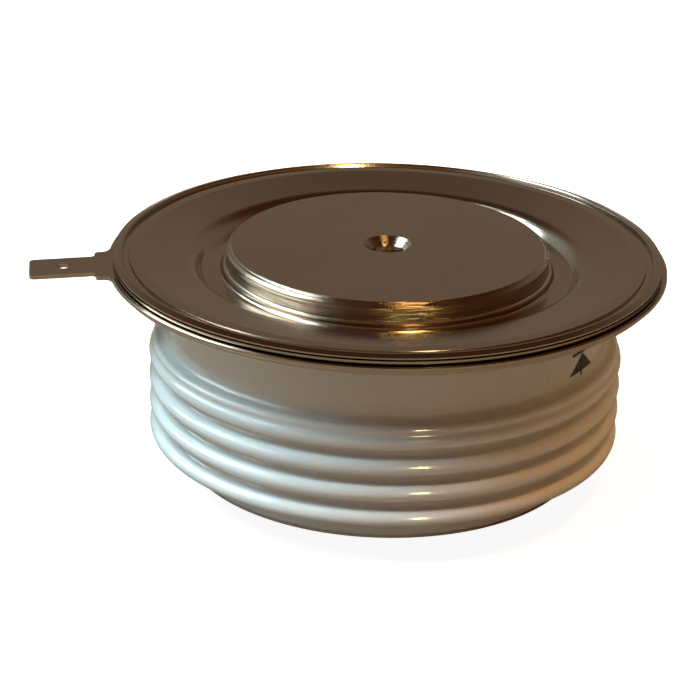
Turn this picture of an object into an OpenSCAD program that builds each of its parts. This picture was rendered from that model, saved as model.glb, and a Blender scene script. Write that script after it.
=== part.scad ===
// Capsule thyristor: a silicon wafer clamped between two pole pieces in a ribbed ceramic ring.
// The axis is Z, the anode pole face lies at z = 0 and the cathode terminal tab points along -X.

/* [Overall] */
// Distance between the two pole faces
total_h = 26; // [24:0.1:30]
// Diameter of both pole pieces where they stand proud
pole_d = 34.5; // [30:0.1:40]

/* [Cathode pole] */
// Height of the cathode face above the lip of its flange
cathode_proud = 0.5; // [0.3:0.05:1.2]
// Radial width of the edge chamfer on both pole faces
face_chamfer_w = 0.6; // [0.2:0.05:1]
// Height of the edge chamfer on both pole faces
face_chamfer_h = 0.5; // [0.1:0.05:0.6]
// Radial step from the head of the cathode pole to its bearing face
bearing_step = 1.25; // [0.8:0.05:2]
// Thickness of the head's underside above the gate recess
head_floor_h = 0.4; // [0.2:0.05:1]

/* [Locating holes] */
// Diameter of the blind locating hole in each pole face
pin_hole_d = 3.5; // [2.5:0.1:4.5]
// Depth of the straight part of each locating hole below its face
pin_hole_h = 2; // [1.8:0.1:2.6]
// Diameter of the countersink at the mouth of the cathode pole's locating hole
sink_d = 5.2; // [4.6:0.1:6]
// Included angle of the drill point at the bottom of each hole
drill_angle = 118; // [90:1:140]

/* [Cathode flange] */
// Thickness of the cathode flange sheet
lid_t = 0.35; // [0.25:0.01:0.4]
// Radial width of the convolution between the pole and the conical land
convolution_w = 4.35; // [3.8:0.05:6]
// Radial width of the conical land
land_w = 4.8; // [4.2:0.1:7]
// Radial width of the flat part of the land inside the weld groove
flat_land_w = 1.1; // [0.9:0.1:1.5]
// Width of the pressed weld groove
weld_groove_w = 0.8; // [0.5:0.05:1]
// Depth of the pressed weld groove below the flat land
weld_groove_h = 0.25; // [0.1:0.01:0.3]
// Radial width of the lip outside the weld groove
lip_w = 0.95; // [0.7:0.05:1.5]
// Height of the lip above the flat land of the flange
lip_rise = 0.2; // [0.1:0.02:0.3]
// Thickness of the lip, thinned by the weld die
lip_t = 0.15; // [0.1:0.01:0.2]
// Height that the lip falls towards its outer edge
lip_fall = 0.2; // [0:0.01:0.25]
// Drop of the conical land from its flat part to the convolution
dish_h = 0.65; // [0.3:0.05:0.7]
// Height of the top of the flange neck below the lip
neck_drop = 1.7; // [1.4:0.05:1.9]
// Height of the straight part of the neck, where it is brazed to the pole
neck_seat_h = 0.15; // [0.1:0.05:0.3]
// Slope of the convolution's outer wall
wall_angle = 55; // [45:1:60]
// Bend radius between the neck and the convolution floor
neck_bend_r = 0.7; // [0.5:0.05:0.9]
// Bend radius between the floor and the outer wall
floor_bend_r = 0.8; // [0.5:0.05:1]
// Bend radius between the outer wall and the conical land
land_bend_r = 1.8; // [1:0.05:2.1]
// Leg of the braze fillet round the cathode pole at the top of the neck
braze_leg = 0.25; // [0.15:0.05:0.35]

/* [Lower flanges] */
// Thickness of the joggled flange that the cathode flange is cold welded to
weld_flange_t = 0.26; // [0.2:0.01:0.4]
// Height of the joggle, which is also the open gap round the rim
joggle_h = 0.17; // [0.1:0.01:0.3]
// Radial width of the joggle
joggle_w = 0.7; // [0.5:0.05:1]
// Distance of the joggle inside the weld groove
joggle_inset = 0.2; // [0.1:0.05:0.5]
// Radial width of the weld flange's seat on the tab ring
weld_seat_w = 1.2; // [0.8:0.1:2]
// Thickness of the ring that carries the tab
tab_ring_t = 0.45; // [0.35:0.01:0.6]
// Radial distance by which the tab ring stands out beyond the other flanges
tab_ring_overhang = 0.55; // [0.3:0.05:1]
// Radial width of the tab ring inside the weld flange
tab_ring_step = 0.8; // [0.4:0.1:1.5]
// Thickness of the flange that is brazed to the ceramic
housing_flange_t = 0.57; // [0.35:0.01:0.7]
// Radial width by which the housing flange reaches inside the conical land
housing_flange_step = 0.1; // [0:0.05:0.3]
// Broken edge on the outside of the flat rings
ring_edge = 0.08; // [0.04:0.01:0.12]

/* [Auxiliary cathode tab] */
// Length of the tab beyond its ring
tab_length = 8.2; // [7:0.1:12]
// Width of the blade of the tab
tab_w = 4.7; // [3.5:0.1:6]
// Width of the shoulder at the root of the tab
tab_root_w = 7.2; // [6.2:0.1:9]
// Length of the shoulder at the root of the tab
tab_root_length = 1.3; // [1:0.1:2.5]
// Fillet between the ring and the shoulder
tab_fillet_r = 0.9; // [0.5:0.05:1.2]
// Corner radius at the tip of the tab
tab_tip_r = 0.6; // [0.3:0.05:1.2]
// Diameter of the hole in the tab
tab_hole_d = 1.4; // [1:0.1:2]
// Distance from the tip of the tab to its hole
tab_hole_inset = 3.6; // [2.5:0.1:4.5]
// Angle by which the tab hangs below the flange
tab_droop = 2; // [0:0.5:8]

/* [Ceramic] */
// Wall of the smooth band round the counterbore
band_wall = 2.7; // [2:0.1:4]
// Depth of the ribs outside the smooth band
rib_depth = 1.85; // [1.4:0.05:2.5]
// Number of ribs
rib_count = 4; // [3:1:4]
// Distance from one rib to the next
rib_pitch = 2.83; // [2.5:0.01:3.2]
// Radius of the rounded crest of a rib
rib_r = 0.85; // [0.6:0.01:1]
// Height of the shoulder above the crest of the top rib
shoulder_rise = 1.7; // [1.5:0.05:2]
// Radial distance of the shoulder inside the crests of the ribs
shoulder_inset = 0.4; // [0.2:0.05:0.5]
// Radius of the outer corner of the shoulder
shoulder_r = 0.5; // [0.3:0.05:0.6]
// Radius of the waist between the top rib and the shoulder
waist_r = 0.6; // [0.5:0.05:1]
// Radius of the fillet between the shoulder and the band
band_fillet_r = 0.8; // [0.4:0.05:0.9]
// Radius of the fillet at the neck
ceramic_fillet_r = 0.6; // [0.3:0.05:0.8]
// Wall of the neck below the lowest rib
neck_wall = 2.2; // [1.5:0.1:3]
// Height of the neck below the lowest rib
neck_h = 2.7; // [2:0.1:3.5]
// Radial width by which the ceramic reaches inside the conical land
counterbore_step = 0.6; // [0.3:0.05:0.9]
// Depth of the counterbore that clears the convolution
counterbore_h = 1.9; // [1.6:0.1:2.6]
// Radial width of the shelf between the counterbore and the bore
shelf_w = 1.4; // [0.8:0.1:2]
// Chamfer on the outer edges of both ends
ceramic_chamfer = 0.2; // [0.1:0.05:0.4]
// Radial width of the braze fillet under the housing flange
seal_fillet_w = 0.35; // [0.2:0.05:0.6]

/* [Anode side] */
// Height of the anode flange above the anode pole face
anode_proud = 2; // [1.4:0.05:2.4]
// Thickness of the anode flange
anode_flange_t = 0.3; // [0.2:0.05:0.5]
// Radial distance of the anode flange's edge inside the ceramic neck
anode_flange_inset = 0.2; // [0:0.05:0.6]

/* [Wafer stack] */
// Gap between the bore and the centring ring
stack_gap = 0.15; // [0.05:0.05:0.4]
// Thickness of the centring ring's skirt round the anode disc
skirt_t = 0.4; // [0.3:0.05:0.6]
// Height of the centring ring's collar above the edge seal
collar_h = 3; // [2:0.1:3.4]
// Thickness of the anode disc
anode_disc_t = 2; // [1.5:0.1:2.4]
// Radial distance of the wafer's edge inside the anode disc
wafer_inset = 0.4; // [0.2:0.05:0.8]
// Thickness of the silicon wafer
wafer_t = 0.5; // [0.3:0.05:0.6]
// Radial width of the bevel ground on the wafer's edge
bevel_w = 0.7; // [0.4:0.05:1]
// Thickness of the silver foil between wafer and cathode disc
foil_t = 0.1; // [0.05:0.01:0.2]
// Radial distance of the cathode disc inside the bearing face
cathode_disc_inset = 0.2; // [0:0.05:1]
// Thickness of the cathode disc
cathode_disc_t = 1; // [0.8:0.05:1.3]
// Height of the rubber edge seal above the anode disc
edge_seal_h = 1.3; // [1.1:0.05:1.5]

/* [Gate] */
// Height of the gate wire's axis above the bearing face of the cathode pole
gate_well_h = 5.2; // [4.5:0.1:6]
// Diameter of the gate recess in the cathode pole
recess_d = 6.4; // [5.6:0.1:7.5]
// Width of the slot that leads the gate wire out of the pole
slot_w = 2.4; // [2:0.1:3]
// Diameter of the gate hole in the cathode disc and foil
gate_hole_d = 3; // [2.4:0.1:4]
// Diameter of the stem of the gate pin
gate_stem_d = 1.6; // [1.2:0.1:2]
// Thickness of the head of the gate pin
gate_head_t = 0.5; // [0.3:0.05:0.8]
// Diameter of the bore of the gate insulator
insulator_bore_d = 3.6; // [3.1:0.05:4.2]
// Thickness of the top wall of the gate insulator
insulator_top_t = 0.5; // [0.3:0.05:0.8]
// Diameter of the gate spring's wire
spring_wire_d = 0.3; // [0.25:0.01:0.35]
// Number of turns of the gate spring
spring_turns = 4; // [3:0.5:4.5]
// Diameter of the gate wire
lead_d = 0.8; // [0.5:0.05:0.9]
// Outer diameter of the insulating sleeve on the gate wire
sleeve_d = 1.7; // [1.5:0.05:1.9]
// Outer diameter of the gate tube through the ceramic
tube_d = 2; // [1.7:0.05:2.4]
// Bore of the gate tube
tube_bore_d = 1.2; // [1:0.05:1.4]
// Length of the gate tube outside the ceramic band
tube_out = 3; // [2:0.1:4]
// Diameter of the collar that is brazed round the gate tube
tube_collar_d = 4; // [3.4:0.1:5]
// Thickness of that collar
tube_collar_t = 0.5; // [0.3:0.05:0.7]
// Depth of the collar's seat in the ceramic band
collar_seat_h = 0.45; // [0.2:0.05:0.6]
// Width of the gate terminal blade
gate_blade_w = 2.8; // [2.2:0.1:4.8]
// Length of the gate terminal blade
gate_blade_length = 7; // [5:0.1:9]
// Thickness of the gate terminal blade
gate_blade_t = 0.5; // [0.4:0.05:0.8]
// Wall of the crimped barrel on the gate tube
barrel_t = 0.35; // [0.2:0.05:0.6]

/* [Hidden] */
$fn = 96;
// Running clearance between inner pieces that drop into each other
clear = 0.05;
// Overlap that keeps a cut from ending on a face
cut = 1;
// Height of the gate pin's head above the bearing face
gate_head_lift = 0.9;
// Length of the gate tube inside the bore
tube_inside = 0.8;
nickel = [0.62, 0.58, 0.53];
copper = [0.72, 0.45, 0.32];
ceramic_white = [0.93, 0.93, 0.92];

// Radii, from the pole outward
pole_r = pole_d / 2;
land_inner_r = pole_r + convolution_w;
flat_r = land_inner_r + land_w;
weld_groove_r = flat_r + flat_land_w;
weld_out_r = weld_groove_r + weld_groove_w;
flange_r = weld_out_r + lip_w;
joggle_out_r = weld_groove_r - joggle_inset;
joggle_in_r = joggle_out_r - joggle_w;
weld_flange_inner_r = joggle_in_r - weld_seat_w;
tab_ring_inner_r = weld_flange_inner_r - tab_ring_step;
tab_ring_r = flange_r + tab_ring_overhang;
housing_flange_inner_r = land_inner_r - housing_flange_step;
counterbore_r = land_inner_r - counterbore_step;
bore_r = counterbore_r - shelf_w;
band_r = counterbore_r + band_wall;
neck_r = bore_r + neck_wall;
rib_outer_r = band_r + rib_depth;
rib_mid_r = rib_outer_r - rib_r;
groove_r = rib_pitch / 2 - rib_r;
anode_flange_r = neck_r - anode_flange_inset;
anode_disc_r = bore_r - stack_gap - skirt_t - clear;
wafer_r = anode_disc_r - wafer_inset;
bearing_r = pole_r - bearing_step;
cathode_disc_r = bearing_r - cathode_disc_inset;
gate_head_d = insulator_bore_d - 6 * clear;
spring_d = gate_head_d - 2 * spring_wire_d;

// Heights of the rim, from the cathode face down
lip_z = total_h - cathode_proud;
land_z = lip_z - lip_rise;
weld_z = land_z - lid_t;
tab_ring_top = weld_z - weld_flange_t - joggle_h;
tab_ring_z = tab_ring_top - tab_ring_t;
ceramic_top = tab_ring_z - housing_flange_t;

// Heights of the ceramic, from its lower end up
ceramic_bottom = anode_proud + anode_flange_t;
low_rib_z = ceramic_bottom + neck_h + rib_r;
top_rib_z = low_rib_z + (rib_count - 1) * rib_pitch;
shoulder_z = top_rib_z + shoulder_rise;

// Heights of the gate, in the middle of the band, and of the stack below it
gate_z = (shoulder_z + ceramic_top) / 2;
bearing_z = gate_z - gate_well_h;
cathode_disc_z = bearing_z - cathode_disc_t;
foil_z = cathode_disc_z - foil_t;
wafer_z = foil_z - wafer_t;
anode_disc_z = wafer_z - anode_disc_t;
edge_seal_z = wafer_z + edge_seal_h;
recess_top = gate_z + sleeve_d / 2 + 4 * clear;
head_z = recess_top + head_floor_h;
insulator_top = gate_z - sleeve_d / 2 - 2 * clear;
gate_head_z = bearing_z + gate_head_lift;
collar_seat_y = band_r - collar_seat_h;
tube_y = bore_r - tube_inside;
tube_end_y = band_r + tube_out;

// Points of an arc about [x, y] from angle a0 to angle a1 in n steps
function arc(x, y, r, a0, a1, n = 8) =
    [for (i = [0:n]) [x + r * cos(a0 + (a1 - a0) * i / n), y + r * sin(a0 + (a1 - a0) * i / n)]];

// A bend of a sheet's middle line: points with the direction of travel, turning left about [x, y]
function bend_left(x, y, r, a0, a1, n = 6) =
    [for (i = [0:n]) let (a = a0 + (a1 - a0) * i / n) [x + r * sin(a), y - r * cos(a), a]];

// The same bend turning right about [x, y]
function bend_right(x, y, r, a0, a1, n = 6) =
    [for (i = [0:n]) let (a = a0 + (a1 - a0) * i / n) [x - r * sin(a), y + r * cos(a), a]];

// One side of a sheet, at distance d to the left of its middle line
function sheet_side(path, d) = [for (p = path) [p[0] - d * sin(p[2]), p[1] + d * cos(p[2])]];

function reverse(list) = [for (i = [len(list) - 1:-1:0]) list[i]];

// Blind locating hole with a drill point, opening upward at z = 0
module locating_hole() {
    hole_r = pin_hole_d / 2;
    point_h = hole_r / tan(drill_angle / 2);
    rotate_extrude()
        polygon([[0, cut], [hole_r, cut], [hole_r, -pin_hole_h], [0, -pin_hole_h - point_h]]);
}

// Countersink at 45 degrees for the mouth of a locating hole
module countersink() {
    sink_h = (sink_d - pin_hole_d) / 2;
    translate([0, 0, -sink_h])
        cylinder(h = sink_h + cut, d1 = pin_hole_d, d2 = sink_d + 2 * cut);
}

// Slot and recess for the gate, cut into the bearing face of the cathode pole
module gate_recess() {
    translate([0, 0, bearing_z - cut])
        cylinder(h = recess_top - bearing_z + cut, d = recess_d);
    translate([-slot_w / 2, 0, bearing_z - cut])
        cube([slot_w, pole_r + cut, recess_top - bearing_z + cut]);
}

module cathode_pole() {
    color(nickel)
        difference() {
            rotate_extrude()
                polygon([[0, bearing_z], [bearing_r, bearing_z], [bearing_r, head_z], [pole_r, head_z],
                         [pole_r, total_h - face_chamfer_h], [pole_r - face_chamfer_w, total_h],
                         [0, total_h]]);
            gate_recess();
            translate([0, 0, total_h]) {
                locating_hole();
                countersink();
            }
        }
}

module pole_braze_ring() {
    neck_top = lip_z - neck_drop;
    color(nickel)
        rotate_extrude()
            polygon(concat([[pole_r, neck_top]],
                           arc(pole_r + braze_leg, neck_top + braze_leg, braze_leg, 180, 270, 5)));
}

module cathode_flange() {
    half = lid_t / 2;
    sleeve_r = pole_r + half;
    floor_z = lip_z - neck_drop - neck_seat_h - neck_bend_r;
    dish_angle = atan(dish_h / land_w);
    land_in_z = land_z - half - dish_h;
    bend_z = land_in_z - land_bend_r * cos(dish_angle);
    bend_x = land_inner_r + land_bend_r * sin(dish_angle);
    wall_top = [bend_x - land_bend_r * sin(wall_angle), bend_z + land_bend_r * cos(wall_angle)];
    wall_foot_z = floor_z + floor_bend_r * (1 - cos(wall_angle));
    wall_foot_x = wall_top[0] - (wall_top[1] - wall_foot_z) / tan(wall_angle);
    foot_bend_x = wall_foot_x - floor_bend_r * sin(wall_angle);
    middle = concat([[sleeve_r, lip_z - neck_drop, -90]],
                    bend_left(sleeve_r + neck_bend_r, floor_z + neck_bend_r, neck_bend_r, -90, 0),
                    bend_left(foot_bend_x, floor_z + floor_bend_r, floor_bend_r, 0, wall_angle),
                    bend_right(bend_x, bend_z, land_bend_r, wall_angle, dish_angle),
                    [[flat_r, land_z - half, 0]]);
    edge = 0.1;
    groove_z = land_z - weld_groove_h;
    crest_r = weld_out_r + 3 * edge;
    rim_top = [[weld_groove_r, land_z], [weld_groove_r + edge, groove_z], [weld_out_r - edge, groove_z],
               [weld_out_r, lip_z - edge], [weld_out_r + edge, lip_z], [crest_r, lip_z],
               [flange_r, lip_z - lip_fall]];
    rim_under = [[flange_r, lip_z - lip_fall - lip_t], [crest_r, lip_z - lip_t - edge / 2],
                 [weld_out_r + edge, lip_z - lip_t - edge], [weld_out_r - edge, weld_z]];
    color(nickel)
        rotate_extrude()
            polygon(concat(sheet_side(middle, half), rim_top, rim_under, reverse(sheet_side(middle, -half))));
}

// Joggled ring: the outer part is welded under the cathode flange, the inner part sits on the tab ring
module weld_flange() {
    top = [[joggle_in_r, weld_z - joggle_h], [joggle_out_r, weld_z], [flange_r, weld_z]];
    color(nickel)
        rotate_extrude()
            polygon(concat([[weld_flange_inner_r, tab_ring_top], [weld_flange_inner_r, weld_z - joggle_h]],
                           top, [for (p = reverse(top)) [p[0], p[1] - weld_flange_t]]));
}

// Outline of the tab in its own plane: the ring's edge is at x = 0 and the tip at x = -tab_length
module tab_outline() {
    blade = tab_w / 2;
    root = tab_root_w / 2;
    corner = (root - blade) * 0.36;
    fillet_y = root + tab_fillet_r;
    fillet_reach = sqrt(pow(tab_ring_r + tab_fillet_r, 2) - pow(fillet_y, 2));
    half = concat([[cut, fillet_y]],
                  arc(tab_ring_r - fillet_reach, fillet_y, tab_fillet_r,
                      -atan(fillet_y / fillet_reach), -90, 5),
                  arc(corner - tab_root_length, root - corner, corner, 90, 180, 5),
                  arc(-corner - tab_root_length, blade + corner, corner, 0, -90, 5),
                  arc(tab_tip_r - tab_length, blade - tab_tip_r, tab_tip_r, 90, 180, 6));
    polygon(concat(half, reverse([for (p = half) [p[0], -p[1]]])));
}

// Places its children in the plane of the tab, with the ring's edge at x = 0
module tab_plane() {
    translate([-tab_ring_r, 0, tab_ring_z])
        rotate([0, -tab_droop, 0])
            children();
}

// Flat ring with slightly broken outer edges
module flange_ring(z, t, inner_r, outer_r) {
    rotate_extrude()
        polygon([[inner_r, z], [outer_r - ring_edge, z], [outer_r, z + ring_edge],
                 [outer_r, z + t - ring_edge], [outer_r - ring_edge, z + t], [inner_r, z + t]]);
}

module tab_ring() {
    color(nickel)
        difference() {
            union() {
                flange_ring(tab_ring_z, tab_ring_t, tab_ring_inner_r, tab_ring_r);
                tab_plane()
                    linear_extrude(tab_ring_t)
                        tab_outline();
            }
            tab_plane()
                translate([tab_hole_inset - tab_length, 0, -cut])
                    cylinder(h = tab_ring_t + 2 * cut, d = tab_hole_d, $fn = 32);
        }
}

module housing_flange() {
    color(nickel)
        flange_ring(ceramic_top, housing_flange_t, housing_flange_inner_r, flange_r);
}

module flange_braze_ring() {
    color(nickel)
        rotate_extrude()
            polygon(concat([[band_r - ceramic_chamfer, ceramic_top], [band_r, ceramic_top - ceramic_chamfer]],
                           arc(band_r + seal_fillet_w, ceramic_top - seal_fillet_w, seal_fillet_w,
                               180, 90, 5)));
}

// The point at distances a and b from the centres p and q, on the right of the way from p to q
function touching(p, a, q, b) =
    let (d = norm(q - p), along = (a * a - b * b + d * d) / (2 * d), aside = sqrt(a * a - along * along))
    p + (along * (q - p) + aside * [q[1] - p[1], p[0] - q[0]]) / d;

// Outer outline of the ceramic, from its bottom edge up to its top edge
function ceramic_outline() =
    let (under_z = low_rib_z - rib_r, f = ceramic_fillet_r, c = ceramic_chamfer,
         corner = [rib_outer_r - shoulder_inset - shoulder_r, shoulder_z - shoulder_r],
         g = min(band_fillet_r, corner[0] - band_r),
         crest = [rib_mid_r, top_rib_z],
         waist = touching(crest, rib_r + waist_r, corner, shoulder_r + waist_r),
         crest_end = atan2(waist[1] - crest[1], waist[0] - crest[0]),
         corner_start = atan2(waist[1] - corner[1], waist[0] - corner[0]))
    concat([[neck_r - c, ceramic_bottom], [neck_r, ceramic_bottom + c]],
           arc(neck_r + f, under_z - f, f, 180, 90),
           [for (k = [0:rib_count - 2]) each concat(
               arc(rib_mid_r, low_rib_z + k * rib_pitch, rib_r, -90, 90, 12),
               arc(rib_mid_r, low_rib_z + (k + 0.5) * rib_pitch, groove_r, -90, -270, 10))],
           arc(crest[0], crest[1], rib_r, -90, crest_end, 10),
           arc(waist[0], waist[1], waist_r, crest_end + 180, corner_start + 180, 6),
           arc(corner[0], corner[1], shoulder_r, corner_start, 90, 8),
           arc(band_r + g, shoulder_z + g, g, -90, -180),
           [[band_r, ceramic_top - c], [band_r - c, ceramic_top]]);

// Neighbouring points that coincide are dropped, because the arcs above share their ends
function without_repeats(list) =
    [for (i = [0:len(list) - 1]) if (i == 0 || norm(list[i] - list[max(i - 1, 0)]) > 0.001) list[i]];

module ceramic_housing() {
    step_z = ceramic_top - counterbore_h;
    color(ceramic_white)
        difference() {
            rotate_extrude()
                polygon(concat(without_repeats(ceramic_outline()),
                               [[counterbore_r, ceramic_top], [counterbore_r, step_z],
                                [bore_r, step_z - shelf_w], [bore_r, ceramic_bottom]]));
            translate([0, 0, gate_z])
                rotate([-90, 0, 0])
                    cylinder(h = band_r + cut, d = tube_d, $fn = 32);
            translate([0, collar_seat_y, gate_z])
                rotate([-90, 0, 0])
                    cylinder(h = rib_outer_r, d = tube_collar_d + 2 * clear, $fn = 48);
        }
}

module anode_flange() {
    color(nickel)
        translate([0, 0, anode_proud])
            difference() {
                cylinder(h = anode_flange_t, r = anode_flange_r);
                translate([0, 0, -cut])
                    cylinder(h = anode_flange_t + 2 * cut, d = pole_d);
            }
}

module anode_pole() {
    color(nickel)
        difference() {
            rotate_extrude()
                polygon([[0, 0], [pole_r - face_chamfer_w, 0], [pole_r, face_chamfer_h],
                         [pole_r, ceramic_bottom], [wafer_r, ceramic_bottom], [wafer_r, anode_disc_z],
                         [0, anode_disc_z]]);
            rotate([180, 0, 0])
                locating_hole();
        }
}

module anode_disc() {
    color([0.5, 0.5, 0.52])
        translate([0, 0, anode_disc_z])
            cylinder(h = anode_disc_t, r = anode_disc_r);
}

module silicon_wafer() {
    color([0.3, 0.32, 0.36])
        translate([0, 0, wafer_z])
            cylinder(h = wafer_t, r1 = wafer_r, r2 = wafer_r - bevel_w);
}

// Flat disc with the gate hole in its middle
module gated_disc(z, t) {
    translate([0, 0, z])
        difference() {
            cylinder(h = t, r = cathode_disc_r);
            translate([0, 0, -cut])
                cylinder(h = t + 2 * cut, d = gate_hole_d, $fn = 48);
        }
}

module silver_foil() {
    color([0.85, 0.85, 0.84])
        gated_disc(foil_z, foil_t);
}

module cathode_disc() {
    color([0.5, 0.5, 0.52])
        gated_disc(cathode_disc_z, cathode_disc_t);
}

module edge_seal() {
    seal_lap = 0.5;
    chamfer = 0.3;
    color([0.75, 0.3, 0.25])
        rotate_extrude()
            polygon([[wafer_r, wafer_z], [anode_disc_r, wafer_z], [anode_disc_r, edge_seal_z - chamfer],
                     [anode_disc_r - chamfer, edge_seal_z], [cathode_disc_r + seal_lap, edge_seal_z],
                     [cathode_disc_r + seal_lap, foil_z], [wafer_r - bevel_w, foil_z]]);
}

module centring_ring() {
    skirt_r = anode_disc_r + clear;
    top_z = edge_seal_z + collar_h;
    chamfer = 0.5;
    color([0.9, 0.9, 0.86])
        rotate_extrude()
            polygon([[skirt_r, anode_disc_z], [skirt_r + skirt_t, anode_disc_z],
                     [skirt_r + skirt_t, top_z - chamfer], [skirt_r + skirt_t - chamfer, top_z],
                     [bearing_r + clear, top_z], [bearing_r + clear, edge_seal_z], [skirt_r, edge_seal_z]]);
}

module gate_pin() {
    point_h = 0.4;
    color([0.8, 0.78, 0.7])
        rotate_extrude($fn = 48)
            polygon([[0, foil_z], [gate_stem_d / 4, foil_z], [gate_stem_d / 2, foil_z + point_h],
                     [gate_stem_d / 2, gate_head_z], [gate_head_d / 2, gate_head_z],
                     [gate_head_d / 2, gate_head_z + gate_head_t], [0, gate_head_z + gate_head_t]]);
}

// Compression spring swept along a helix, one ring of points at each step
module gate_spring() {
    sides = 8;
    steps = 16 * spring_turns;
    wire_r = spring_wire_d / 2;
    low_z = gate_head_z + gate_head_t + wire_r;
    high_z = insulator_top - insulator_top_t - wire_r;
    points = [for (i = [0:steps])
              let (a = 360 * spring_turns * i / steps, z = low_z + (high_z - low_z) * i / steps)
              for (j = [0:sides - 1]) let (b = 360 * j / sides, r = spring_d / 2 + wire_r * cos(b))
                  [r * cos(a), r * sin(a), z + wire_r * sin(b)]];
    walls = [for (i = [0:steps - 1]) for (j = [0:sides - 1]) let (k = (j + 1) % sides)
             each [[i * sides + j, (i + 1) * sides + j, i * sides + k],
                   [i * sides + k, (i + 1) * sides + j, (i + 1) * sides + k]]];
    low_cap = [for (j = [1:sides - 2]) [0, j, j + 1]];
    high_cap = [for (j = [1:sides - 2]) [steps * sides, steps * sides + j + 1, steps * sides + j]];
    color([0.7, 0.7, 0.7])
        polyhedron(points = points, faces = concat(walls, low_cap, high_cap), convexity = 10);
}

module gate_insulator() {
    color([0.9, 0.9, 0.86])
        translate([0, 0, bearing_z])
            difference() {
                cylinder(h = insulator_top - bearing_z, d = recess_d - 2 * clear);
                translate([0, 0, -cut])
                    cylinder(h = insulator_top - insulator_top_t - bearing_z + cut, d = insulator_bore_d);
                cylinder(h = insulator_top - bearing_z + cut, d = lead_d + 4 * clear, $fn = 32);
            }
}

// Gate wire: up from the pin through the spring, round one bend and out along +Y
module gate_wire() {
    foot_z = gate_head_z + gate_head_t;
    turn_r = lead_d;
    color([0.8, 0.78, 0.7]) {
        translate([0, 0, foot_z])
            cylinder(h = gate_z - turn_r - foot_z, d = lead_d, $fn = 32);
        translate([0, turn_r, gate_z - turn_r])
            rotate([0, -90, 0])
                rotate_extrude(angle = -90, $fn = 48)
                    translate([turn_r, 0])
                        circle(d = lead_d, $fn = 32);
        translate([0, turn_r, gate_z])
            rotate([-90, 0, 0])
                cylinder(h = tube_end_y - turn_r, d = lead_d, $fn = 32);
    }
}

// Tube along +Y at the height of the gate
module gate_pipe(y0, y1, outer_d, inner_d) {
    translate([0, y0, gate_z])
        rotate([-90, 0, 0])
            difference() {
                cylinder(h = y1 - y0, d = outer_d, $fn = 32);
                translate([0, 0, -cut])
                    cylinder(h = y1 - y0 + 2 * cut, d = inner_d, $fn = 32);
            }
}

module wire_sleeve() {
    color([0.85, 0.85, 0.8])
        gate_pipe(1.5 * lead_d, tube_y, sleeve_d, lead_d);
}

module gate_tube() {
    color(nickel)
        gate_pipe(tube_y, tube_end_y, tube_d, tube_bore_d);
}

module gate_tube_collar() {
    color(nickel)
        gate_pipe(collar_seat_y, collar_seat_y + tube_collar_t, tube_collar_d, tube_d);
}

module gate_terminal() {
    barrel_gap = 0.4;
    taper = 1;
    blade = gate_blade_w / 2;
    corner = 0.5;
    tip_y = tube_end_y + gate_blade_length - corner;
    color(nickel) {
        gate_pipe(collar_seat_y + tube_collar_t + barrel_gap, tube_end_y, tube_d + 2 * barrel_t, tube_d);
        translate([0, 0, gate_z - gate_blade_t / 2])
            linear_extrude(gate_blade_t)
                polygon(concat([[tube_d / 2, tube_end_y], [blade, tube_end_y + taper]],
                               arc(blade - corner, tip_y, corner, 0, 90, 5),
                               arc(corner - blade, tip_y, corner, 90, 180, 5),
                               [[-blade, tube_end_y + taper], [-tube_d / 2, tube_end_y]]));
    }
}

cathode_pole();
pole_braze_ring();
cathode_flange();
weld_flange();
tab_ring();
housing_flange();
flange_braze_ring();
ceramic_housing();
anode_flange();
anode_pole();
anode_disc();
silicon_wafer();
silver_foil();
cathode_disc();
edge_seal();
centring_ring();
gate_pin();
gate_spring();
gate_insulator();
gate_wire();
wire_sleeve();
gate_tube();
gate_tube_collar();
gate_terminal();
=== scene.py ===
"""Capsule thyristor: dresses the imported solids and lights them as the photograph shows."""
import math

import bpy
from mathutils import Matrix, Vector


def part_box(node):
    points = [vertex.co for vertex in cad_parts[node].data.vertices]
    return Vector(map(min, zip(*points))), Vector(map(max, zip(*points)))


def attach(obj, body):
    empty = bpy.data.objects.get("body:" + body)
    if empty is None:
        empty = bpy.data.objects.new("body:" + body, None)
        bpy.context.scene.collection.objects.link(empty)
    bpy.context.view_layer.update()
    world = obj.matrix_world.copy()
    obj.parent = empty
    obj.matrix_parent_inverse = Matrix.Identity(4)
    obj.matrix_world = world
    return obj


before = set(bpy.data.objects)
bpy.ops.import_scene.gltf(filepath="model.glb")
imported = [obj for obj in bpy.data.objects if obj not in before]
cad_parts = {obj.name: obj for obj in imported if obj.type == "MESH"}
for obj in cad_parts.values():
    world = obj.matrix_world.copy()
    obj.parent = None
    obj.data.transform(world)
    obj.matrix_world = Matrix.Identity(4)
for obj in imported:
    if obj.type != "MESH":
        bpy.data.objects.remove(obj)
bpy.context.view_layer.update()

MM = 0.001

# Places that come from the solids: the top of the rim, and the radius of the ceramic's smooth band, which is
# the end of the gate tube less the length that stands out
GATE_TUBE_OUT = 3.0 * MM
LIP_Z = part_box("cathode_flange")[1][2]
BAND_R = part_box("gate_tube")[1][1] - GATE_TUBE_OUT

# The photograph's camera
CAMERA_DISTANCE = 246.05 * MM
CAMERA_ELEVATION = math.radians(20.578)
CAMERA_TURN = math.radians(8.3)
CAMERA_YAW = -0.01508
CAMERA_PITCH = 0.04466
CAMERA_ROLL = -0.0277
FOCAL_PIXELS = 2300.0
FRAME_PIXELS = 700.0
SENSOR = 36.0

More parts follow.
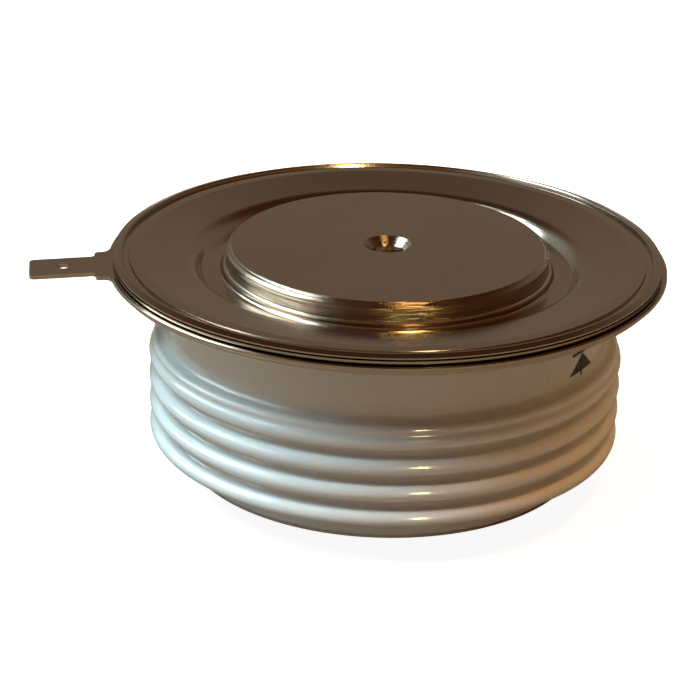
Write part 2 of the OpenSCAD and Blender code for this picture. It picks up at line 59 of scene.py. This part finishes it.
# Base colours
NICKEL = (0.43, 0.35, 0.285), (0.38, 0.305, 0.24)
BRAZE = (0.60, 0.54, 0.46), (0.48, 0.42, 0.34)
GATE_METAL = (0.55, 0.49, 0.42), (0.45, 0.39, 0.32)
SPRING_STEEL = (0.55, 0.54, 0.52), (0.45, 0.44, 0.42)
MOLYBDENUM = (0.42, 0.42, 0.43), (0.34, 0.34, 0.35)
SILVER = (0.86, 0.84, 0.80), (0.78, 0.75, 0.70)
CERAMIC = (0.62, 0.60, 0.57), (0.66, 0.645, 0.62)
SPECK = (0.16, 0.14, 0.12)
SILICON = (0.10, 0.11, 0.13)
EDGE_RUBBER = (0.45, 0.10, 0.07)
INNER_PLASTIC = (0.82, 0.81, 0.76)
BLACK_INK = (0.022, 0.016, 0.014)
FLOOR = (0.45, 0.43, 0.40), (0.48, 0.46, 0.43)
TABLE = (0.12, 0.10, 0.07), (0.15, 0.12, 0.085)
# Lighter brown close to the object: painted light of the brightly lit table next to it
TABLE_NEAR_PAINTED_LIGHT = (0.17, 0.145, 0.12)

# Colours of the room round the object
ROOM_FRONT = (0.22, 0.10, 0.03)
ROOM_BACK = (0.235, 0.185, 0.137)
ROOM_LEFT = (0.42, 0.48, 0.46)
ROOM_TOP = (0.07, 0.025, 0.01)

# Middle of the object, at which the lights point
MIDDLE = (0.0, 0.0, 15 * MM)

# Lights that colour what they fall on and leave no reflection:
# name, azimuth, elevation, distance, size, watts and colour
SPREAD_LIGHTS = (
    ("window", -64, 62, 0.5, (0.27, 0.30), 5.3, (0.57, 0.86, 1.0)),
    ("window_back", -128, 28, 0.5, (0.20, 0.30), 0.4, (0.60, 0.88, 1.0)),
    ("window_low", -90, 8, 0.5, (0.36, 0.14), 0.12, (0.85, 0.95, 0.95)),
    ("ceiling", 20, 82, 0.5, (0.30, 0.30), 3.6, (1.0, 0.54, 0.25)),
    ("right_wall", 100, 48, 0.5, (0.30, 0.30), 0.6, (1.0, 0.62, 0.24)),
)

# Lights that are seen only as reflections; the first stands upright like a window pane
PANE_LIGHT = ("window_pane", -100, 50, 0.78, (0.27, 0.95), 6.5, (0.74, 0.96, 0.98))
MIRRORED_LIGHTS = (
    ("window_side", -72, 33, 0.5, (0.20, 0.30), 0.9, (0.85, 0.97, 0.95)),
    ("lamp_above", 48, 77, 0.6, (0.05, 0.05), 0.32, (1.0, 0.60, 0.17)),
    ("lamp_front", 18, 17, 0.6, (0.06, 0.05), 0.55, (1.0, 0.92, 0.42)),
)


def new_tree(name):
    """A material with only a Principled shader, and its tree."""
    material = bpy.data.materials.new(name)
    material.use_nodes = True
    tree = material.node_tree
    return material, tree, tree.nodes["Principled BSDF"]


def set_or_link(tree, socket, item):
    if isinstance(item, bpy.types.NodeSocket):
        tree.links.new(item, socket)
    else:
        socket.default_value = item


def math_node(tree, operation, a, b=None, clamp=False):
    node = tree.nodes.new("ShaderNodeMath")
    node.operation = operation
    node.use_clamp = clamp
    for socket, item in zip(node.inputs, (a, b)):
        if item is not None:
            set_or_link(tree, socket, item)
    return node.outputs[0]


def map_range(tree, item, low, high, to_low=0.0, to_high=1.0):
    """The item, eased from one range to another."""
    node = tree.nodes.new("ShaderNodeMapRange")
    node.interpolation_type = "SMOOTHSTEP"
    set_or_link(tree, node.inputs["Value"], item)
    node.inputs["From Min"].default_value = low
    node.inputs["From Max"].default_value = high
    node.inputs["To Min"].default_value = to_low
    node.inputs["To Max"].default_value = to_high
    return node.outputs["Result"]


def mix_colour(tree, factor, a, b):
    node = tree.nodes.new("ShaderNodeMix")
    node.data_type = "RGBA"
    set_or_link(tree, node.inputs[0], factor)
    for socket, item in ((node.inputs[6], a), (node.inputs[7], b)):
        set_or_link(tree, socket, item if isinstance(item, bpy.types.NodeSocket) else (*item, 1.0))
    return node.outputs[2]


def position(tree):
    """Object coordinates in metres, and their x, y and z."""
    coords = tree.nodes.new("ShaderNodeTexCoord").outputs["Object"]
    split = tree.nodes.new("ShaderNodeSeparateXYZ")
    tree.links.new(coords, split.inputs[0])
    return coords, split.outputs[0], split.outputs[1], split.outputs[2]


def noise(tree, coords, scale, detail=4.0, roughness=0.6):
    """Noise with a scale in cells for each metre."""
    node = tree.nodes.new("ShaderNodeTexNoise")
    node.inputs["Scale"].default_value = scale
    node.inputs["Detail"].default_value = detail
    node.inputs["Roughness"].default_value = roughness
    tree.links.new(coords, node.inputs["Vector"])
    return node.outputs["Fac"]


def turned_coords(tree, x, y, z):
    """Coordinates for marks that a lathe leaves round a wall: slow across, fine up the height."""
    across, up = 22.0, 5200.0
    join = tree.nodes.new("ShaderNodeCombineXYZ")
    for socket, item, scale in zip(join.inputs, (x, y, z), (across, across, up)):
        set_or_link(tree, socket, math_node(tree, "MULTIPLY", item, scale))
    return join.outputs[0]


def bump(tree, shader, height, strength, distance, normal=None):
    """A bump node, linked to the shader where one is given."""
    node = tree.nodes.new("ShaderNodeBump")
    node.inputs["Strength"].default_value = strength
    node.inputs["Distance"].default_value = distance
    set_or_link(tree, node.inputs["Height"], height)
    if normal is not None:
        tree.links.new(normal, node.inputs["Normal"])
    if shader is not None:
        tree.links.new(node.outputs[0], shader.inputs["Normal"])
    return node.outputs[0]


def metal(name, colours, roughness, grain, turned=0.0):
    """Metal: cloudy tarnish, fine satin grain, and turned marks where a lathe left them."""
    cloud_scale, grain_scale = 60.0, 5200.0
    stain, grain_share = 0.5, 0.6
    grain_depth, turned_depth = 0.02 * MM, 0.11 * MM
    material, tree, shader = new_tree(name)
    coords, x, y, z = position(tree)
    clouds = map_range(tree, noise(tree, coords, cloud_scale, 5.0), 0.35, 0.7)
    fine = noise(tree, coords, grain_scale, 3.0)
    tint = mix_colour(tree, math_node(tree, "MULTIPLY", clouds, stain), *colours)
    tree.links.new(tint, shader.inputs["Base Color"])
    wear = math_node(tree, "ADD", math_node(tree, "MULTIPLY", fine, grain_share),
                     math_node(tree, "MULTIPLY", clouds, 1.0 - grain_share))
    tree.links.new(map_range(tree, wear, 0.2, 0.9, *roughness), shader.inputs["Roughness"])
    shader.inputs["Metallic"].default_value = 1.0
    fine_normal = bump(tree, None if turned else shader, fine, grain, grain_depth)
    if turned:
        marks = noise(tree, turned_coords(tree, x, y, z), 1.0, 3.0)
        bump(tree, shader, marks, turned, turned_depth, fine_normal)
    return material


def glazed_ceramic(name):
    """White alumina under a clear glaze, with a few dark specks and a slight waviness."""
    cloud_scale, wave_scale, cell_scale, rare_scale = 45.0, 260.0, 420.0, 330.0
    speck_strength, wave_strength, wave_depth = 0.55, 0.05, 0.05 * MM
    material, tree, shader = new_tree(name)
    coords = position(tree)[0]
    clouds = noise(tree, coords, cloud_scale, 3.0, 0.5)
    base = mix_colour(tree, map_range(tree, clouds, 0.35, 0.7), *CERAMIC)
    cells = tree.nodes.new("ShaderNodeTexVoronoi")
    cells.inputs["Scale"].default_value = cell_scale
    tree.links.new(coords, cells.inputs["Vector"])
    rare = noise(tree, coords, rare_scale, 2.0, 0.5)
    speck = math_node(tree, "MULTIPLY", map_range(tree, cells.outputs["Distance"], 0.03, 0.08, 1.0, 0.0),
                      map_range(tree, rare, 0.60, 0.66))
    tree.links.new(mix_colour(tree, math_node(tree, "MULTIPLY", speck, speck_strength), base, SPECK),
                   shader.inputs["Base Color"])
    tree.links.new(map_range(tree, clouds, 0.3, 0.7, 0.11, 0.17), shader.inputs["Roughness"])
    shader.inputs["Subsurface Weight"].default_value = 0.8
    shader.inputs["Subsurface Radius"].default_value = (1.0, 0.85, 0.7)
    shader.inputs["Subsurface Scale"].default_value = 0.35 * MM
    bump(tree, shader, noise(tree, coords, wave_scale, 2.0, 0.5), wave_strength, wave_depth)
    return material


def plain(name, colour, rough, variation=0.08, metallic=0.0):
    """Inner pieces and ink: an even colour with slight variation, uneven roughness and a fine bump."""
    scale, grain, depth, rough_variation = 900.0, 0.05, 0.03 * MM, 0.15
    material, tree, shader = new_tree(name)
    clouds = noise(tree, position(tree)[0], scale, 3.0, 0.5)
    darker = [channel * (1.0 - variation) for channel in colour]
    mask = map_range(tree, clouds, 0.3, 0.7)
    tree.links.new(mix_colour(tree, mask, colour, darker), shader.inputs["Base Color"])
    low, high = rough * (1.0 - rough_variation), rough * (1.0 + rough_variation)
    tree.links.new(map_range(tree, clouds, 0.3, 0.7, low, high), shader.inputs["Roughness"])
    shader.inputs["Metallic"].default_value = metallic
    bump(tree, shader, clouds, grain, depth)
    return material


def dress(material, *nodes):
    for name in nodes:
        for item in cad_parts[name].material_slots:
            item.material = material


def dress_solids():
    """One material for each real material, on the solids that are made of it."""
    dress(metal("pole_nickel", NICKEL, (0.15, 0.21), 0.06, 1.0), "cathode_pole", "anode_pole")
    dress(metal("flange_nickel", NICKEL, (0.15, 0.21), 0.08),
          "cathode_flange", "weld_flange", "tab_ring", "housing_flange", "anode_flange")
    dress(metal("braze_metal", BRAZE, (0.15, 0.25), 0.06), "pole_braze_ring", "flange_braze_ring")
    dress(metal("gate_metal", GATE_METAL, (0.2, 0.3), 0.06),
          "gate_pin", "gate_wire", "gate_tube", "gate_tube_collar", "gate_terminal")
    dress(metal("spring_steel", SPRING_STEEL, (0.2, 0.3), 0.04), "gate_spring")
    dress(metal("molybdenum", MOLYBDENUM, (0.25, 0.4), 0.12, 0.1), "anode_disc", "cathode_disc")
    dress(metal("silver", SILVER, (0.15, 0.25), 0.05), "silver_foil")
    dress(plain("silicon", SILICON, 0.12, 0.15, 0.6), "silicon_wafer")
    dress(plain("edge_rubber", EDGE_RUBBER, 0.5), "edge_seal")
    dress(plain("inner_plastic", INNER_PLASTIC, 0.45), "centring_ring", "gate_insulator", "wire_sleeve")
    dress(glazed_ceramic("white_ceramic"), "ceramic_housing")


def ink_patch(name, ink, azimuth, columns):
    """A printed patch on the band. Each column is (distance round the band, low z, high z) in metres."""
    lift, sink = 0.012 * MM, 0.02 * MM
    verts, faces = [], []
    for along, low, high in columns:
        angle = math.radians(azimuth) - CAMERA_TURN + along / BAND_R
        for r in (BAND_R + lift, BAND_R - sink):
            for z in (low, high):
                verts.append((r * math.sin(angle), -r * math.cos(angle), z))
    last = len(columns) - 1
    for i in range(last):
        a, b = 4 * i, 4 * (i + 1)
        faces += [(a, b, b + 1, a + 1), (a + 1, b + 1, b + 3, a + 3),
                  (a + 3, b + 3, b + 2, a + 2), (a + 2, b + 2, b, a)]
    faces += [(0, 1, 3, 2), (4 * last, 4 * last + 2, 4 * last + 3, 4 * last + 1)]
    mesh = bpy.data.meshes.new(name)
    mesh.from_pydata(verts, [], faces)
    mesh.materials.append(ink)
    piece = bpy.data.objects.new(name, mesh)
    bpy.context.scene.collection.objects.link(piece)
    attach(piece, "root")


def polarity_symbol():
    """The plain rectifier sign on the band: bar, triangle and two leads."""
    azimuth = 59.2
    top, bar, base, foot = (LIP_Z - drop * MM for drop in (5.2, 6.25, 8.3, 9.45))
    half_stroke, half_bar, half_base = 0.17 * MM, 2.05 * MM, 2.4 * MM
    bar_top = bar + 2 * half_stroke
    peak, corner_h = bar - 0.02 * MM, 0.06 * MM
    steps = 12
    ink = plain("black_ink", BLACK_INK, 0.6, 0.3)

    def across(half):
        return [half * (2.0 * i / steps - 1.0) for i in range(steps + 1)]

    def slope(s):
        return max(base + corner_h, peak - (peak - base) * abs(s) / half_base)

    lead = (-half_stroke, half_stroke)
    ink_patch("symbol_bar", ink, azimuth, [(s, bar, bar_top) for s in across(half_bar)])
    ink_patch("symbol_triangle", ink, azimuth, [(s, base, slope(s)) for s in across(half_base)])
    ink_patch("symbol_foot", ink, azimuth, [(s, foot, base) for s in lead])
    ink_patch("symbol_top", ink, azimuth, [(s, bar_top, top) for s in lead])


def photo_camera():
    """The camera fitted to the photograph, aimed a little off the middle of the rim."""
    forward = Vector((0.0, math.cos(CAMERA_ELEVATION), -math.sin(CAMERA_ELEVATION)))
    right = Vector((1.0, 0.0, 0.0))
    up = right.cross(forward)
    base = Matrix((right, up, -forward))
    yaw = Matrix.Rotation(CAMERA_YAW, 3, "Y")
    pitch = Matrix.Rotation(CAMERA_PITCH, 3, "X")
    roll = Matrix.Rotation(CAMERA_ROLL, 3, "Z")
    world_to_camera = roll @ pitch @ yaw @ base
    around = Matrix.Rotation(-CAMERA_TURN, 3, "Z")
    data = bpy.data.cameras.new("photo_camera")
    data.sensor_width = SENSOR
    data.sensor_fit = "HORIZONTAL"
    data.lens = FOCAL_PIXELS * SENSOR / FRAME_PIXELS
    data.clip_start = 0.01
    camera = bpy.data.objects.new("photo_camera", data)
    bpy.context.scene.collection.objects.link(camera)
    turned = (around @ world_to_camera.transposed()).to_4x4()
    place = around @ (-forward * CAMERA_DISTANCE) + Vector((0.0, 0.0, LIP_Z))
    camera.matrix_world = Matrix.Translation(place) @ turned
    bpy.context.scene.camera = camera


def flat_sheet(name, corners, material, faces=((0, 1, 2, 3),)):
    """A flat sheet that belongs to the studio."""
    mesh = bpy.data.meshes.new(name)
    mesh.from_pydata(corners, [], faces)
    mesh.materials.append(material)
    sheet = bpy.data.objects.new(name, mesh)
    bpy.context.scene.collection.objects.link(sheet)
    return sheet


def floor_plane():
    """White floor that keeps the object's shadow. It glows for the camera and for reflections, but the brown
    sheet hides most of it from reflections."""
    half, drop, glow, grain_scale = 8.0, -0.02 * MM, 0.92, 40.0
    material, tree, shader = new_tree("floor_white")
    grain = noise(tree, position(tree)[0], grain_scale, 3.0, 0.5)
    tree.links.new(mix_colour(tree, grain, *FLOOR), shader.inputs["Base Color"])
    shader.inputs["Roughness"].default_value = 0.9
    shader.inputs["Specular IOR Level"].default_value = 0.0
    path = tree.nodes.new("ShaderNodeLightPath").outputs
    seen = math_node(tree, "ADD", math_node(tree, "ADD", path["Is Camera Ray"], path["Is Glossy Ray"]),
                     path["Is Transmission Ray"], clamp=True)
    shader.inputs["Emission Color"].default_value = (1.0, 1.0, 1.0, 1.0)
    tree.links.new(math_node(tree, "MULTIPLY", seen, glow), shader.inputs["Emission Strength"])
    flat_sheet("floor", [(-half, -half, drop), (half, -half, drop), (half, half, drop), (-half, half, drop)],
               material)


def around_object(azimuth, elevation, distance):
    """Place at an azimuth from the camera's own direction (0 is the camera's side, positive to the right)."""
    a = math.radians(azimuth) - CAMERA_TURN
    e = math.radians(elevation)
    return (distance * math.cos(e) * math.sin(a), -distance * math.cos(e) * math.cos(a), distance * math.sin(e))


def table_flag():
    """Brown sheet just above the floor, unseen by the camera. In reflections it takes the place of most of the
    white floor, so that the rim and the foot mirror a brown table. Close to the object it is lighter: painted
    light of the brightly lit table there."""
    near, far, height = 17.6 * MM, 600 * MM, 0.2 * MM
    fade_from, fade_to = 30 * MM, 90 * MM
    half_angle, steps, cloud_scale = 170, 34, 30.0
    material, tree, shader = new_tree("flag_brown")
    coords, x, y, _ = position(tree)
    square = math_node(tree, "ADD", math_node(tree, "MULTIPLY", x, x), math_node(tree, "MULTIPLY", y, y))
    reach = map_range(tree, math_node(tree, "SQRT", square), fade_from, fade_to)
    brown = mix_colour(tree, noise(tree, coords, cloud_scale), *TABLE)
    # Painted light: lighter close to the object, fading to plain brown further out
    tree.links.new(mix_colour(tree, reach, TABLE_NEAR_PAINTED_LIGHT, brown), shader.inputs["Base Color"])
    shader.inputs["Roughness"].default_value = 0.8
    angles = [half_angle * (2.0 * i / steps - 1.0) for i in range(steps + 1)]
    corners = [around_object(angle, 0, r)[:2] + (height,) for angle in angles for r in (near, far)]
    faces = [(2 * i, 2 * i + 2, 2 * i + 3, 2 * i + 1) for i in range(steps)]
    sheet = flat_sheet("table_flag", corners, material, faces)
    sheet.visible_camera = False
    sheet.visible_shadow = False


def area_light(name, place, target, size, power, colour, mirrored):
    """A soft light that is seen only as a reflection where it is mirrored, and leaves none where it isn't."""
    data = bpy.data.lights.new(name, "AREA")
    data.shape = "RECTANGLE"
    data.size, data.size_y = size
    data.energy = power
    data.color = colour
    light = bpy.data.objects.new(name, data)
    light.location = place
    light.visible_glossy = mirrored
    light.visible_diffuse = not mirrored
    light.rotation_euler = (Vector(target) - Vector(place)).to_track_quat("-Z", "Y").to_euler()
    bpy.context.scene.collection.objects.link(light)


def world_colours(tree):
    """The room by direction: warm in front, brown behind, pale at the left, dark overhead."""
    coords = tree.nodes.new("ShaderNodeTexCoord").outputs["Generated"]
    split = tree.nodes.new("ShaderNodeSeparateXYZ")
    tree.links.new(coords, split.inputs[0])

    def towards(azimuth, low, high):
        dot = tree.nodes.new("ShaderNodeVectorMath")
        dot.operation = "DOT_PRODUCT"
        tree.links.new(coords, dot.inputs[0])
        dot.inputs[1].default_value = around_object(azimuth, 0, 1.0)
        return map_range(tree, dot.outputs["Value"], low, high)

    level = mix_colour(tree, towards(180, 0.0, 0.7), ROOM_FRONT, ROOM_BACK)
    level = mix_colour(tree, towards(-90, 0.35, 0.85), level, ROOM_LEFT)
    return mix_colour(tree, map_range(tree, split.outputs[2], 0.40, 0.75), level, ROOM_TOP)


def room():
    world = bpy.data.worlds.new("studio")
    bpy.context.scene.world = world
    world.use_nodes = True
    background = world.node_tree.nodes["Background"]
    world.node_tree.links.new(world_colours(world.node_tree), background.inputs["Color"])
    background.inputs["Strength"].default_value = 1.0


def lights():
    for name, azimuth, elevation, distance, *rest in SPREAD_LIGHTS:
        area_light(name, around_object(azimuth, elevation, distance), MIDDLE, *rest, mirrored=False)
    name, azimuth, elevation, distance, *rest = PANE_LIGHT
    place = around_object(azimuth, elevation, distance)
    area_light(name, place, (0.0, 0.0, place[2]), *rest, mirrored=True)
    for name, azimuth, elevation, distance, *rest in MIRRORED_LIGHTS:
        area_light(name, around_object(azimuth, elevation, distance), MIDDLE, *rest, mirrored=True)


dress_solids()
polarity_symbol()
floor_plane()
table_flag()
photo_camera()
room()
lights()

bpy.context.scene.view_settings.view_transform = "Standard"
